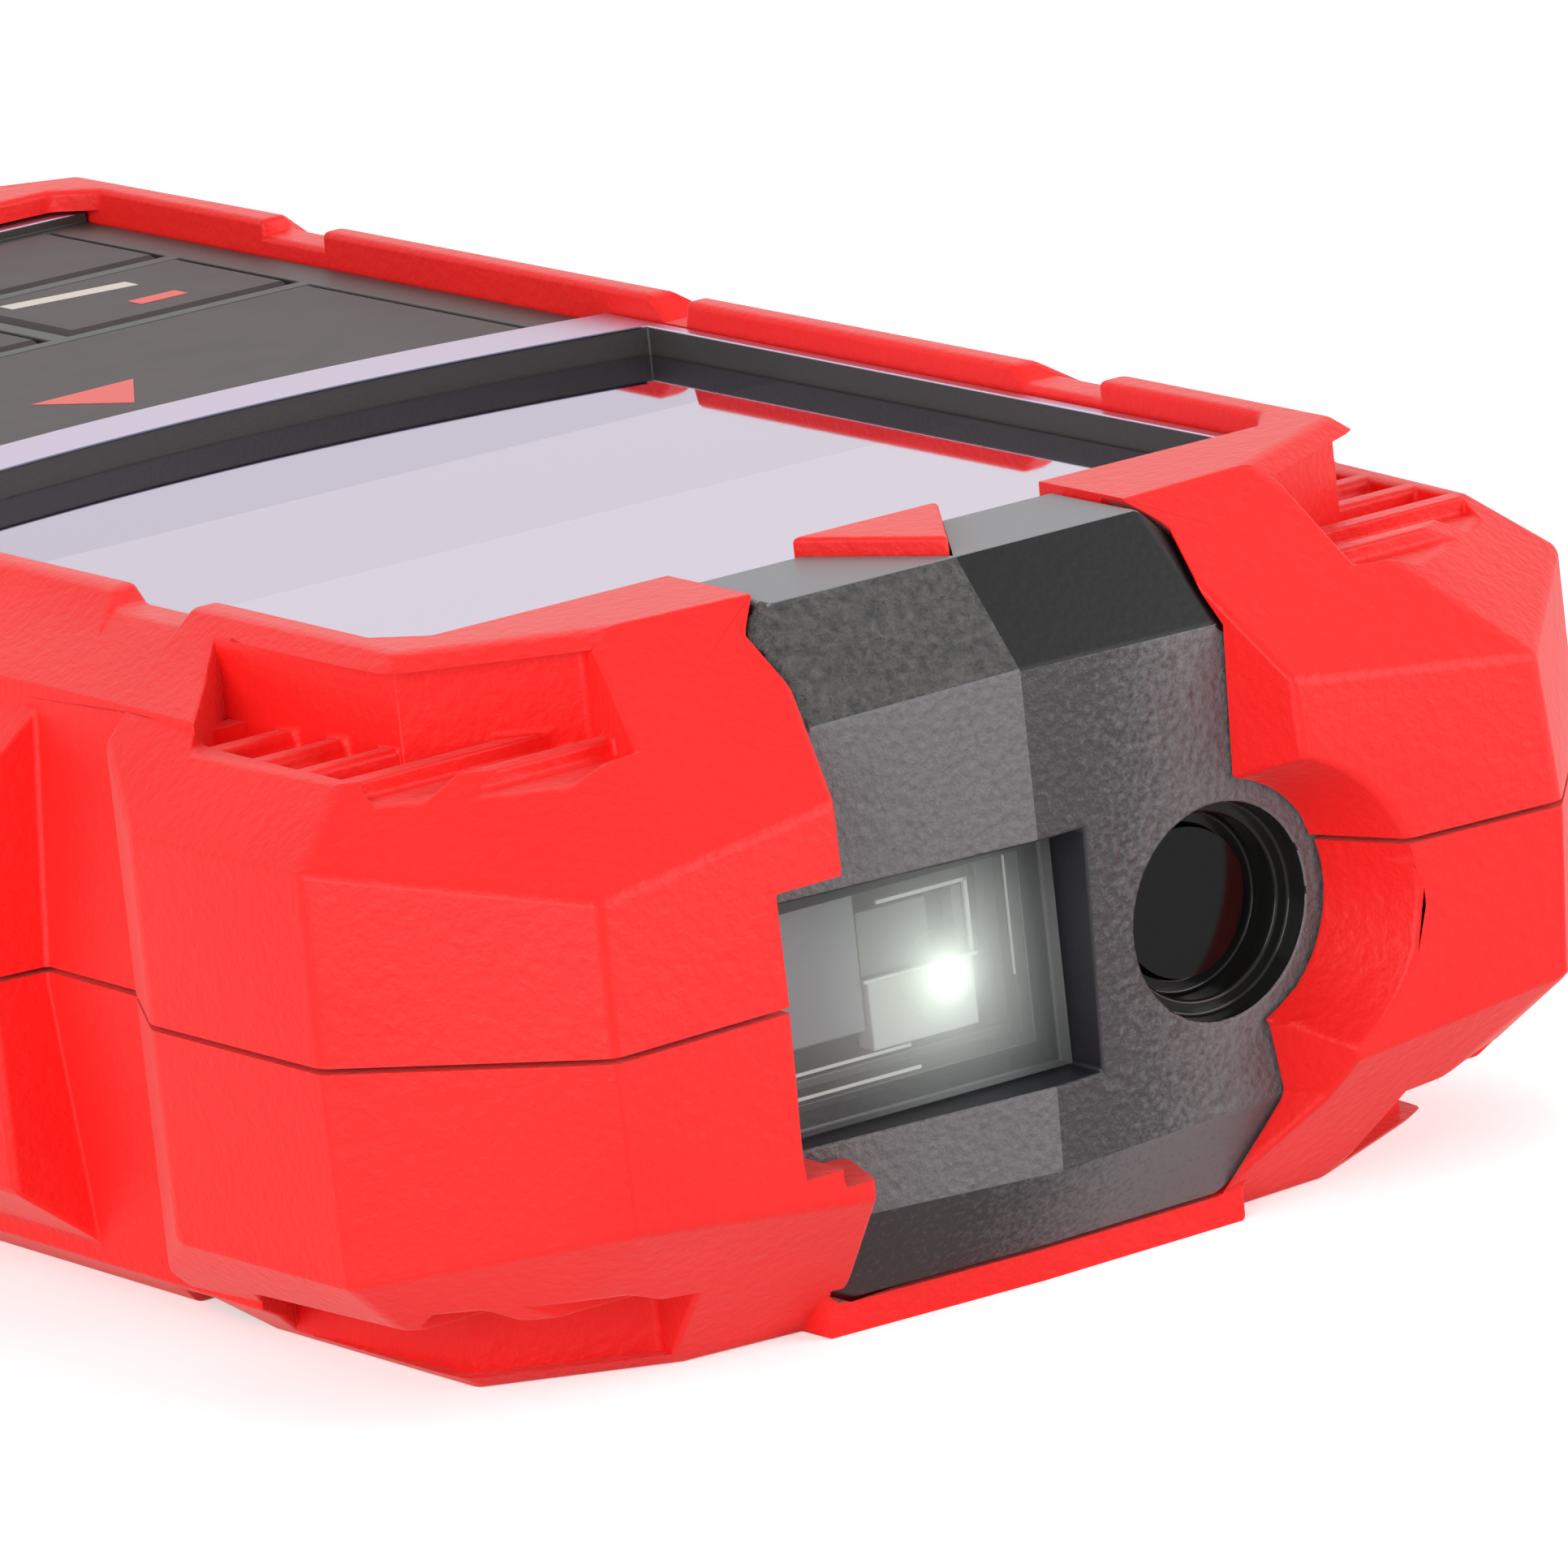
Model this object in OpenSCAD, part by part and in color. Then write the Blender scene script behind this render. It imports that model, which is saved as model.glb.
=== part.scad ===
// Handheld laser distance meter: a hard two-part case with a colour display
// and a sprung keypad, a textured nose that carries the laser and the
// receiver, and two halves of thick faceted armour round it all.
// X runs across the meter, the beam leaves towards -Y, the display faces +Z,
// and the underside rests on z = 0. All sizes are in millimetres.

/* [Body] */
// Overall width over the armour
body_w = 65.2; // [64:0.2:72]
// Overall length over the armour
body_l = 130; // [128:1:150]
// Height from the underside to the top of the rim
body_h = 31.6; // [31:0.2:36]
// Height of the split between the two armour halves
parting_z = 16.3; // [15.8:0.1:17]
// Gap left along the split
parting_gap = 0.25; // [0.15:0.05:0.4]
// Gap between pieces that are fitted together
fit_gap = 0.15; // [0.1:0.05:0.25]

/* [Armour] */
// Width over the rim round the display
rim_w = 48; // [47.6:0.2:50]
// Distance from an end of the body back to the corner of the rim
rim_setback = 13.8; // [12:0.2:15]
// Width of the blunt end of the armour
end_w = 48.4; // [44:0.4:50]
// Length of a corner's slanted face along the body
corner_slant = 9.6; // [8:0.2:11]
// Length of a corner block along the side of the body
corner_len = 22.4; // [20:0.2:24]
// Depth from the rim to the crease along the side
side_crease = 7; // [6:0.2:8]
// Depth from the rim to the crease at the corner of the blunt end
end_crease = 8.8; // [8:0.2:9.6]
// Width over the body in the grooves between the blocks
groove_w = 59.8; // [59:0.2:61]
// Distance from the front end to the front of the middle block
mid_front = 35.6; // [34:0.2:38]
// Distance from the front end to the rear of the middle block
mid_rear = 92.6; // [90:0.2:94]
// Length of the front rim from the front end
front_rim_l = 29.4; // [28:0.2:31]
// Length of the rear rim from the rear end
rear_rim_l = 32.6; // [30:0.2:34]
// Distance from the front end to the gap in the middle of the rim
rim_gap_at = 61.8; // [56:0.2:66]
// Width of the gap in the middle of the rim
rim_gap_w = 3; // [2:0.2:5]
// Depth of the gaps in the rim
rim_gap_d = 1.2; // [0.8:0.1:1.3]

/* [Grip pockets] */
// Depth of a grip pocket from the rim to the tops of its ribs
pocket_d = 4.1; // [3:0.1:4.4]
// Depth of the slots between the ribs, below the tops of the ribs
rib_h = 0.8; // [0.5:0.1:1]
// Spacing of the ribs along the body
rib_pitch = 3.4; // [2.4:0.1:4.5]
// Thickness of a rib
rib_t = 1.2; // [0.8:0.1:1.6]
// Distance of the pocket's back wall inside the rim line
pocket_inset = -0.1; // [-0.3:0.1:0.4]

/* [Case] */
// Width of the hard case inside the armour
case_w = 54; // [53:0.2:55]
// Distance from the ends of the body to the hard case
case_setback = 9; // [8.6:0.2:10]
// Width of the raised deck that holds the display and the keys
deck_w = 45.6; // [45:0.2:46]
// Distance from the ends of the body to the raised deck
deck_setback = 11.8; // [11.4:0.2:12.4]
// Distance from the ends of the body to the opening in the rim
opening_setback = 15.4; // [15:0.2:16.4]
// Depth from the rim to the face of the deck
deck_d = 1.2; // [1:0.1:1.5]
// Height of the step between the deck and the shoulder of the case
shoulder_d = 4.7; // [4.5:0.1:5]
// Thickness of the case walls
wall = 2; // [1.6:0.1:2.4]
// Thickness of the deck round the keys
deck_t = 1.5; // [1.2:0.1:1.8]

/* [Display] */
// Depth of the display glass below the deck
glass_d = 1.3; // [1:0.1:1.6]
// Thickness of the display glass
glass_t = 1.2; // [1:0.1:1.5]
// Length of the display glass along the body
glass_l = 52.8; // [50:0.2:54]
// Width of the display glass
glass_w = 43.6; // [43:0.2:44]
// How far the rear edge of the glass bows out at its middle
glass_bow = 3; // [2:0.1:3.6]
// Width of the ledge under the glass
ledge_w = 1.6; // [1.2:0.1:2]
// Thickness of the display panel
panel_t = 1.2; // [1:0.1:1.3]
// Thickness of the backlight
backlight_t = 0.9; // [0.7:0.1:1]
// Width of the strip of deck between the display and the keys
strip_w = 4.6; // [3.4:0.2:5.4]

/* [Board] */
// Thickness of the main board
board_t = 1.6; // [1.2:0.1:2]
// Gap between the display and the main board
board_gap = 0.15; // [0.1:0.05:0.4]
// Room between the main board and the optics under it
chip_room = 2.5; // [2:0.1:3]
// Height of a chip
chip_h = 1.4; // [0.8:0.1:1.6]
// Size of the largest chip
chip_l = 12; // [8:0.5:14]
// Diameter of the buzzer
buzzer_d = 8; // [7:0.5:9]
// Height of the buzzer
buzzer_h = 3.8; // [3:0.1:4.2]
// Distance of the buzzer from the middle of the board
buzzer_x = 13.6; // [12:0.2:15]

/* [Keys] */
// Width of the field of keys
field_w = 40.4; // [38:0.2:41]
// Depth of the recess round the keys below the deck
field_d = 0.5; // [0.3:0.1:0.7]
// Length of a small key along the body
key_l = 10; // [9:0.2:10.6]
// Gap between a key and what surrounds it
key_gap = 0.35; // [0.3:0.05:0.5]
// Width of the bars of the deck between the keys
key_bar = 1; // [0.8:0.1:1.4]
// Height of a key's face above the recess
key_proud = 0.1; // [0:0.1:0.3]
// Travel of a key
key_travel = 0.6; // [0.4:0.1:0.7]
// Thickness of a key's hidden flange
flange_t = 0.8; // [0.6:0.1:1]
// How far the flange reaches past the sides of a key
flange_out = 0.25; // [0.2:0.05:0.3]
// Number of small keys in a row
keys_across = 3; // [3]

/* [Nose] */
// Width of the nose where the rim lets it through
nose_top_w = 18.8; // [16:0.2:20]
// Full width of the nose behind the armour
nose_w = 36; // [35:0.2:37]
// Distance from the front end to the ridge of the nose
nose_setback = 3.8; // [3.4:0.1:4.4]
// Distance from the front end to the top edge of the nose
nose_top_setback = 7.8; // [7.4:0.1:8.6]
// Slant of the opening's side walls, as millimetres across per millimetre along
opening_flare = 0.31; // [0.25:0.01:0.34]
// Thickness of the nose's front wall
nose_t = 2.4; // [2:0.1:2.8]
// Width of the base of the aiming mark
mark_w = 7.6; // [6:0.2:9]
// Length of the aiming mark
mark_l = 6.2; // [5:0.2:6.4]
// Height of the aiming mark above the rim
mark_proud = 0.5; // [0.2:0.1:0.8]

/* [Optics] */
// Position of the laser's axis across the body
laser_x = 9.5; // [9.2:0.1:10]
// Height of the axis of the laser and the middle of the receiver
optic_z = 14.2; // [13.8:0.1:14.6]
// Diameter of the laser opening
laser_d = 9.4; // [8.8:0.1:9.8]
// Diameter of the armour's scoop where it meets the nose
scoop_d = 11.8; // [11.4:0.1:12.4]
// Diameter of the laser module's barrel
barrel_d = 6.4; // [6:0.1:6.8]
// Length of the laser module's barrel
barrel_l = 17; // [14:0.5:20]
// Width of the receiver's window
window_w = 17.4; // [16.6:0.2:17.6]
// Height of the receiver's window
window_h = 10.6; // [9.8:0.2:11]
// Position of the window's edge next to the laser
window_x = 2.5; // [2.2:0.1:2.8]
// Depth of the clear window inside its frame
window_d = 1.3; // [1:0.1:1.6]
// Thickness of the clear window
window_t = 1; // [0.8:0.1:1.2]
// Width of the receiver's lens
lens_w = 10.4; // [9:0.2:11]
// Radius of the receiver lens's curved face
lens_r = 14; // [12:0.5:18]
// Thickness of the receiver's lens
lens_t = 5.3; // [4:0.1:6]
// Length of the optics chassis
chassis_l = 26; // [24:0.5:30]
// Thickness of the detector's board
detector_t = 1.2; // [0.8:0.1:1.4]

/* [Battery] */
// Diameter of a cell
cell_d = 14.5; // [14:0.1:14.6]
// Length of a cell
cell_l = 50.5; // [50:0.1:51]
// Length of the springs at the front of the bay
spring_l = 3.6; // [3:0.1:4.5]
// Thickness of the contact plates
contact_t = 0.5; // [0.4:0.1:0.8]
// Thickness of the walls of the bay
bay_wall = 1.4; // [1.2:0.1:1.6]
// Width of the battery door in the underside
door_w = 34; // [33:0.2:35]
// Width of the tongue along each side of the door
tongue_w = 1.3; // [1:0.1:1.5]
// Gap round the battery door
door_gap = 0.3; // [0.25:0.05:0.4]
// Gap between a cell and what surrounds it
cell_gap = 0.25; // [0.2:0.05:0.4]

/* [Mount and fasteners] */
// Diameter of the tripod thread
thread_d = 6.35; // [6:0.05:6.4]
// Outer diameter of the tripod bush
bush_d = 9.6; // [9:0.1:10]
// Length of the tripod bush
bush_l = 7; // [6:0.1:8]
// Distance from the front of the battery door forward to the tripod bush
bush_at = 15.9; // [14:0.5:17]
// Diameter of a case screw
screw_d = 2.5; // [2:0.1:3]
// Diameter of a case screw's head
screw_head_d = 4.6; // [4.2:0.1:5]
// Height of a case screw's head
screw_head_h = 1.8; // [1.4:0.1:2.2]

/* [Hidden] */
$fn = 36;
eps = 0.01;
far = 200;

half_w = body_w / 2;
half_h = body_h / 2;
front_y = -body_l / 2;
rear_y = body_l / 2;
rim_x = rim_w / 2;
// The slots stop a little inside the slanted side of the block
pocket_reach = rim_x + (half_w - rim_x) * pocket_d / side_crease - 0.7;
groove_x = groove_w / 2;

// ---- Helpers ----

// Both halves of a list of points given for +X
function both(points) = concat(points, [for (p = points) [-p.x, p.y, p.z]]);

// A right-hand outline closed by its mirror image
function closed(right) =
    concat(right, [for (i = [len(right) - 1:-1:0]) [-right[i].x, right[i].y]]);

// The smallest convex solid round a list of points
module hull_of(points) {
    hull() polyhedron(points, [for (i = [0:len(points) - 3]) [i, i + 1, i + 2]]);
}

// A block between two corners
module block(low, high) {
    translate(low) cube(high - low);
}

// A rod along Y, from one y to another
module rod_y(d, x, z, from_y, to_y) {
    translate([x, from_y, z]) rotate([-90, 0, 0]) cylinder(d = d, h = to_y - from_y);
}

// ---- Armour ----

// Corners of an end block for +X: across, distance from the end, depth below the rim.
// The last two of the rim and of the creases are carried in towards the middle.
rim_end = [[9, 8.9], [16.5, 9.6]];
function block_points(rim_l) = [
    [rim_end[0].x, rim_end[0].y, 0],
    [rim_end[1].x, rim_end[1].y, 0],
    [rim_x, rim_setback, 0],
    [rim_x + 0.2, rim_l, 0],
    [rim_end[0].x, rim_l, 0],
    [9, 1.05, end_crease - 1.8],
    [end_w / 2 - 0.3, 0.4, end_crease],
    [half_w - 0.3, corner_slant, side_crease],
    [half_w, corner_len, side_crease],
    [groove_x + 0.2, corner_len + 5.2, side_crease - 2.8],
    [9, 0.9, half_h],
    [end_w / 2, 0, half_h],
    [half_w - 0.2, corner_slant, half_h],
    [half_w, corner_len, half_h]];

// Points of an end block for +X; side is -1 for the front and 1 for the rear
function end_points(side, rim_l) = let(points = block_points(rim_l)) concat(
    [for (p = points) [p.x, side * (body_l / 2 - p.y), body_h - p.z]],
    [for (p = points) [p.x, side * (body_l / 2 - p.y), p.z]]);

// The closed block round the rear end, whose flat face is the reference for measuring
module rear_block() {
    intersection() {
        translate([0, 0.4, 0]) hull_of(both(end_points(1, rear_rim_l)));
        block([-far, 0, -far], [far, rear_y, far]);
    }
}

// The two blocks beside the nose, and the lip that joins them underneath
module front_blocks() {
    hull_of(end_points(-1, front_rim_l));
    mirror([1, 0, 0]) hull_of(end_points(-1, front_rim_l));
    linear_extrude(half_h / 2)
        polygon(closed([[11, front_y + rim_setback + 5], [11, front_y + 7.2], [eps, front_y + 6.8]]));
}

// The middle block, with a slanted front edge at the rim
module middle_block() {
    top = [
        [rim_x, front_y + mid_front + 0.3, 0],
        [rim_x + 1.4, front_y + mid_front - 1.1, rim_gap_d],
        [half_w, front_y + mid_front - 0.2, side_crease],
        [half_w, front_y + mid_rear + 0.4, side_crease],
        [rim_x, front_y + mid_rear, 0]];
    upper = [for (p = top) [p.x, p.y, body_h - p.z]];
    lower = [for (p = top) [p.x, p.y, p.z]];
    hull_of(both(concat(upper, lower)));
}

// The slimmer body that shows in the grooves between the blocks
module groove_body() {
    side = [[rim_x + 0.6, 0.8], [groove_x - 1, 3.1], [groove_x, half_h],
        [groove_x - 1, body_h - 3.1], [rim_x + 0.6, body_h - 0.8]];
    translate([0, rear_y - rim_setback - 4, 0]) rotate([90, 0, 0])
        linear_extrude(body_l - 2 * rim_setback - 8) polygon(closed(side));
}

// The outside of the armour, before it is hollowed and cut
module armour_form() {
    front_blocks();
    rear_block();
    middle_block();
    groove_body();
}

// Outline of a grip pocket on +X, seen from above at the front
function pocket_outline() = let(x = rim_x - pocket_inset, y = front_y + rim_setback) [
    [x + 1.2, y + 12],
    [x, y + 0.1],
    [rim_end[1].x + 0.8, rim_end[1].y + front_y + 0.3],
    [rim_end[1].x + 4, front_y - 4],
    [half_w + 9, front_y - 4],
    [half_w + 9, front_y + 10]];

// A grip pocket under the rim at the front of +X, with slots between its ribs
module grip_pocket() {
    translate([0, 0, body_h - pocket_d]) linear_extrude(pocket_d - 0.7) polygon(pocket_outline());
    intersection() {
        translate([0, 0, body_h - pocket_d - rib_h]) linear_extrude(rib_h + 1)
            polygon(pocket_outline());
        for (i = [0:7])
            translate([rim_end[1].x, front_y + 5.1 + i * rib_pitch, 0])
                cube([pocket_reach - rim_end[1].x, rib_pitch - rib_t, body_h]);
    }
}

// The four grip pockets of one armour half
module grip_pockets() {
    for (end = [0, 1], side = [0, 1])
        mirror([side, 0, 0]) mirror([0, end, 0]) grip_pocket();
}

// The gap in the middle of the rim, slanted on its rear side
module rim_gap() {
    at = front_y + rim_gap_at;
    side = [[at, -1], [at, rim_gap_d], [at + rim_gap_w - 1.2, rim_gap_d],
        [at + rim_gap_w, 0], [at + rim_gap_w, -1]];
    for (x = [-1, 1])
        translate([x * (rim_x + 1) - 4, 0, body_h]) rotate([90, 0, 90])
            linear_extrude(8) polygon([for (p = side) [p.x, -p.y]]);
}

// The opening in the front of the armour that shows the nose
module nose_opening() {
    deep = front_y + nose_top_setback;
    wide = nose_top_w / 2 + fit_gap;
    out = (nose_top_setback + 2) * opening_flare;
    outline = [[wide, deep + 0.6], [wide, deep], [wide + out, front_y - 2]];
    translate([0, 0, lip_z]) linear_extrude(far) polygon(closed(outline));
    // The lip under the nose is set back from the corner blocks
    lip_y = nose_low_y() - 0.1;
    translate([0, 0, -1]) linear_extrude(lip_z + 2)
        polygon(closed([[wide + 0.1, lip_y], [wide + out, front_y - 2]]));
    // Notch beside the receiver's window
    notch_x = window_x - window_w - 0.3;
    block([notch_x, front_y - 1, optic_z - window_h / 2 + 0.1],
        [0, deep + 2, optic_z + window_h / 2 + 1.7]);
    block([notch_x + 2, front_y - 1, optic_z - window_h / 2 - 0.7], [0, deep + 2, optic_z]);
    // Below the scoop the side wall stands back from the nose
    hull_of([for (y = [deep, front_y - 2], p = [[-1, optic_z - 3], [1.1, optic_z - 5.4],
        [1.7, 5.8], [0, 2.2], [-1, 2.2]]) [wide + (deep - y) * opening_flare + p.x, y, p.y]]);
    // Scoop round the laser
    translate([laser_x, front_y + nose_setback + 1.6, optic_z]) rotate([90, 0, 0])
        cylinder(d1 = scoop_d - 1.2, d2 = scoop_d + 3.5, h = 6);
}

// The rim's opening over the deck
function opening_points() = let(back = rear_y - opening_setback, w = deck_w / 2) closed([
    [12.2, -back], [w - 1.6, -back], [w, -back + 2], [w, back - 2], [w - 1.6, back]]);

// Everything that the armour is wrapped round
module armour_room() {
    case_form(fit_gap);
    nose_form(fit_gap);
    block([-nose_top_w / 2 - fit_gap, front_y + nose_top_setback - 1, body_h - 1.6],
        [nose_top_w / 2 + fit_gap, front_y + opening_setback + 1, body_h + 1]);
    translate([0, 0, body_h - deck_d - 1]) linear_extrude(far) polygon(opening_points());
}

module upper_armour() {
    color("#e8262a")
    difference() {
        armour_form();
        block([-far, -far, -1], [far, far, parting_z + parting_gap / 2]);
        armour_room();
        grip_pockets();
        rim_gap();
        nose_opening();
    }
}

module lower_armour() {
    color("#e8262a")
    difference() {
        armour_form();
        block([-far, -far, parting_z - parting_gap / 2], [far, far, far]);
        armour_room();
        translate([0, 0, body_h]) mirror([0, 0, 1]) grip_pockets();
        nose_opening();
        door_way(door_gap);
        translate([0, bush_y, -1]) cylinder(d = bush_d + 2 * fit_gap, h = 8);
        for (p = screw_spots) translate([p.x, p.y, -1])
            cylinder(d = screw_head_d + 1, h = waist_z + 1.5);
    }
}

// ---- Hard case ----

deck_z = body_h - deck_d;
shoulder_z = deck_z - shoulder_d;
skin = 2.2;
waist_z = skin + shoulder_d - 0.5;

// Outline of the case; g moves its wall outwards
function case_points(g) = let(w = case_w / 2 + g, l = rear_y - case_setback + g) closed([
    [w - 7.5, -l], [w, -l + 9], [w, l - 9], [w - 7.5, l]]);

// Outline of the raised deck; g moves its wall outwards
function deck_points(g) = let(w = deck_w / 2 + g - fit_gap, l = rear_y - deck_setback + g) closed([
    [w - 6.5, -l], [w, -l + 3.6], [w, l - 3.6], [w - 6.5, l]]);

// The solid form of the case, grown by g
module case_form(g) {
    translate([0, 0, waist_z - g]) linear_extrude(shoulder_z - waist_z + 2 * g)
        polygon(case_points(g));
    translate([0, 0, skin - g]) linear_extrude(deck_z - skin + 2 * g)
        polygon(deck_points(g));
}

// The room inside the case
module case_room() {
    translate([0, 0, waist_z + wall]) linear_extrude(shoulder_z - waist_z - 2 * wall)
        polygon(case_points(-wall));
    translate([0, 0, skin + wall]) linear_extrude(shoulder_z - skin - wall - eps)
        polygon(deck_points(-wall));
}

glass_y = front_y + deck_setback + 2;
bow_r = (pow(glass_w / 2, 2) + pow(glass_bow, 2)) / (2 * glass_bow);
bow_y = glass_y + glass_l - bow_r;

// The display's recess in the deck, grown by g; its rear edge bows out
module glass_outline(g) {
    intersection() {
        polygon(closed([[glass_w / 2 - 3.2, glass_y - g], [glass_w / 2 + g, glass_y + 2.2],
            [glass_w / 2 + g, glass_y + glass_l + g]]));
        translate([0, bow_y]) circle(r = bow_r + g, $fn = 180);
    }
}

glass_z = deck_z - glass_d;
panel_z = glass_z - glass_t;
board_top = panel_z - panel_t - 0.1 - backlight_t - board_gap;
chassis_top = board_top - board_t - chip_room;

// Openings in the shells for the nose and the optics
module optic_way() {
    block([window_x - window_w - 1.6, front_y, waist_z + wall + 0.1],
        [laser_x + scoop_d / 2, front_y + case_setback + 4, chassis_top + 0.7]);
}

module upper_shell() {
    color("#34342f")
    difference() {
        case_form(0);
        block([-far, -far, -1], [far, far, parting_z]);
        case_room();
        optic_way();
        // Recess for the glass, the opening under it and the pocket of the panel
        translate([0, 0, panel_z]) linear_extrude(far) glass_outline(fit_gap);
        translate([0, 0, 0]) linear_extrude(far) glass_outline(-ledge_w);
        // Room under the deck for the keys
        block([-field_w / 2 - 0.6, field_front - 0.6, shoulder_z - wall],
            [field_w / 2 + 0.6, field_rear + 0.6, deck_z - deck_t]);
        // The keys lie in a recess whose front edge follows the display's
        difference() {
            union() {
                block([-deck_w / 2 - 1, field_front - 1, deck_z - field_d],
                    [deck_w / 2 + 1, field_rear + 0.5, far]);
                for (k = key_spots) translate([k[0].x, k[0].y, 0])
                    block([-k[1].x / 2 - key_gap, -k[1].y / 2 - key_gap, shoulder_z],
                        [k[1].x / 2 + key_gap, k[1].y / 2 + key_gap, far]);
            }
            strip_edge(0);
        }
        lip_groove(fit_gap);
    }
    color("#34342f") for (p = screw_spots) translate([p.x, p.y, 0]) difference() {
        translate([0, 0, parting_z]) cylinder(d = 4.8, h = shoulder_z - wall - parting_z + 0.1);
        translate([0, 0, parting_z - 1])
            cylinder(d = screw_d + 0.1, h = screw_end + 1.4 - parting_z);
    }
}

// The groove along the split that the gasket sits in
module lip_groove(g) {
    translate([0, 0, parting_z - eps]) linear_extrude(0.8 + g) difference() {
        polygon(case_points(-0.6 + g));
        polygon(case_points(-1.4 - g));
    }
}

module case_gasket() {
    color("#1c1c1c")
    difference() {
        translate([0, 0, parting_z]) linear_extrude(0.8) difference() {
            polygon(case_points(-0.6));
            polygon(case_points(-1.4));
        }
        optic_way();
    }
}

// The battery bay and its door, which the bush and the chips keep clear of
bay_x = cell_d + 3.6 * cell_gap;
bay_end = rear_y - deck_setback - bay_wall - 0.6;
bay_y = bay_end - cell_l - spring_l - 2 * contact_t - 0.6;
door_top = skin + wall;
cell_x = cell_d / 2 + cell_gap;
cell_z = door_top + cell_gap + cell_d / 2;
bay_z = cell_z + cell_d / 2 + cell_gap;
cell_y = bay_end - 0.3 - contact_t - cell_l;
contact_w = cell_d - 3.3;
tongue_z = skin + 1.1;
door_front = bay_y - 1.6;
bush_y = door_front - bush_at;
screw_spots = [for (x = [-1, 1], y = [front_y + 32, rear_y - 35]) [x * 21.5, y]];

module lower_shell() {
    color("#34342f")
    difference() {
        union() {
            difference() {
                case_form(0);
                block([-far, -far, parting_z], [far, far, far]);
                case_room();
            }
            // Walls of the battery bay and bosses for the bush and the screws
            block([-bay_x - bay_wall, bay_y - bay_wall, door_top],
                [bay_x + bay_wall, bay_end + bay_wall, bay_z + bay_wall]);
            block([-deck_w / 2 + wall, bay_y - bay_wall - 2, door_top - 0.1],
                [deck_w / 2 - wall, rear_y - deck_setback - 4.2, door_top + bay_wall]);
            difference() {
                translate([0, bush_y, skin]) cylinder(d = bush_d + 3, h = bush_l);
                chassis_block(0.2, 1.5);
            }
            intersection() {
                case_form(0);
                for (p = screw_spots) translate([p.x, p.y, skin])
                    cylinder(d = 6.4, h = parting_z - skin - 0.1);
            }
        }
        block([-bay_x, bay_y, 0], [bay_x, bay_end, bay_z]);
        door_way(door_gap);
        optic_way();
        translate([0, bush_y, -1]) cylinder(d = bush_d, h = bush_l + 1.6);
        for (p = screw_spots) translate([p.x, p.y, -1]) {
            cylinder(d = screw_d + 0.3, h = far);
            cylinder(d = screw_head_d + 0.4, h = screw_head_z + 1.05);
        }
    }
}

// ---- Display ----

module display_window() {
    color([0.82, 0.79, 0.86, 0.6])
    translate([0, 0, panel_z + 0.05]) linear_extrude(glass_t - 0.05) glass_outline(0);
}

module lcd_panel() {
    color("#20242a")
    translate([0, 0, panel_z - panel_t]) linear_extrude(panel_t - 0.1)
        glass_outline(-ledge_w - 0.3);
}

module backlight() {
    color("#e6e6e2")
    translate([0, 0, panel_z - panel_t - 0.1 - backlight_t]) linear_extrude(backlight_t)
        glass_outline(-ledge_w - 0.3);
}

// ---- Board ----

board_y = front_y + deck_setback + wall + 3.8;
board_end = rear_y - deck_setback - wall - 3.8;

module main_board() {
    color("#1f6b3a")
    difference() {
        block([-deck_w / 2 + wall + 0.4, board_y, board_top - board_t],
            [deck_w / 2 - wall - 0.4, board_end, board_top]);
        for (p = screw_spots) translate([p.x, p.y, 0]) cylinder(d = 5.4, h = far);
    }
}

// The chips stand on the underside of the board, in front of the battery bay
chip_end = bay_y - bay_wall - 0.6;
buzzer_y = chip_end - buzzer_d / 2;

module chip(x, end, width, length) {
    under = board_top - board_t;
    block([x - width / 2, end - length, under - chip_h], [x + width / 2, end, under]);
}

module board_chips() {
    color("#26262a") {
        chip(0, chip_end, chip_l, chip_l);
        chip(-chip_l / 2 - 5, chip_end, chip_l / 2, chip_l * 2 / 3);
        chip(buzzer_x, buzzer_y - buzzer_d / 2 - 0.6, chip_l / 2, chip_l / 2);
    }
}

// ---- Keys ----

field_y = glass_y + glass_l + strip_w;
strip_r = bow_r + strip_w;
field_front = bow_y + sqrt(pow(strip_r, 2) - pow(field_w / 2, 2));
field_rear = rear_y - opening_setback - 1.4;
small_w = (field_w - (keys_across - 1) * key_bar) / keys_across - 2 * key_gap;
wide_l = field_rear - field_y - 2 * (key_l + key_bar + 2 * key_gap) - 2 * key_gap;
row_1 = field_y + 2 * key_gap + wide_l + key_bar + key_l / 2 + key_gap;
row_2 = row_1 + key_l + key_bar + 2 * key_gap;
column = small_w + key_bar + 2 * key_gap;

// Centre and size of each key, in the order of the key names
wide_end = field_y + key_gap + wide_l;
wide_front = field_front + key_gap;
key_spots = concat(
    [[[0, (wide_front + wide_end) / 2], [field_w - 2 * key_gap, wide_end - wide_front]]],
    [for (y = [row_1, row_2], i = [-1:1]) [[i * column, y], [small_w, key_l]]]);

flange_z = deck_z - deck_t - 0.3 - flange_t;
mat_top = flange_z - key_travel - 0.25;

// The strip of deck in front of the keys, up to its bowed edge, moved back by g
module strip_edge(g) {
    translate([0, bow_y, flange_z + flange_t + 0.1]) cylinder(r = strip_r + g, h = far, $fn = 180);
}

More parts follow.
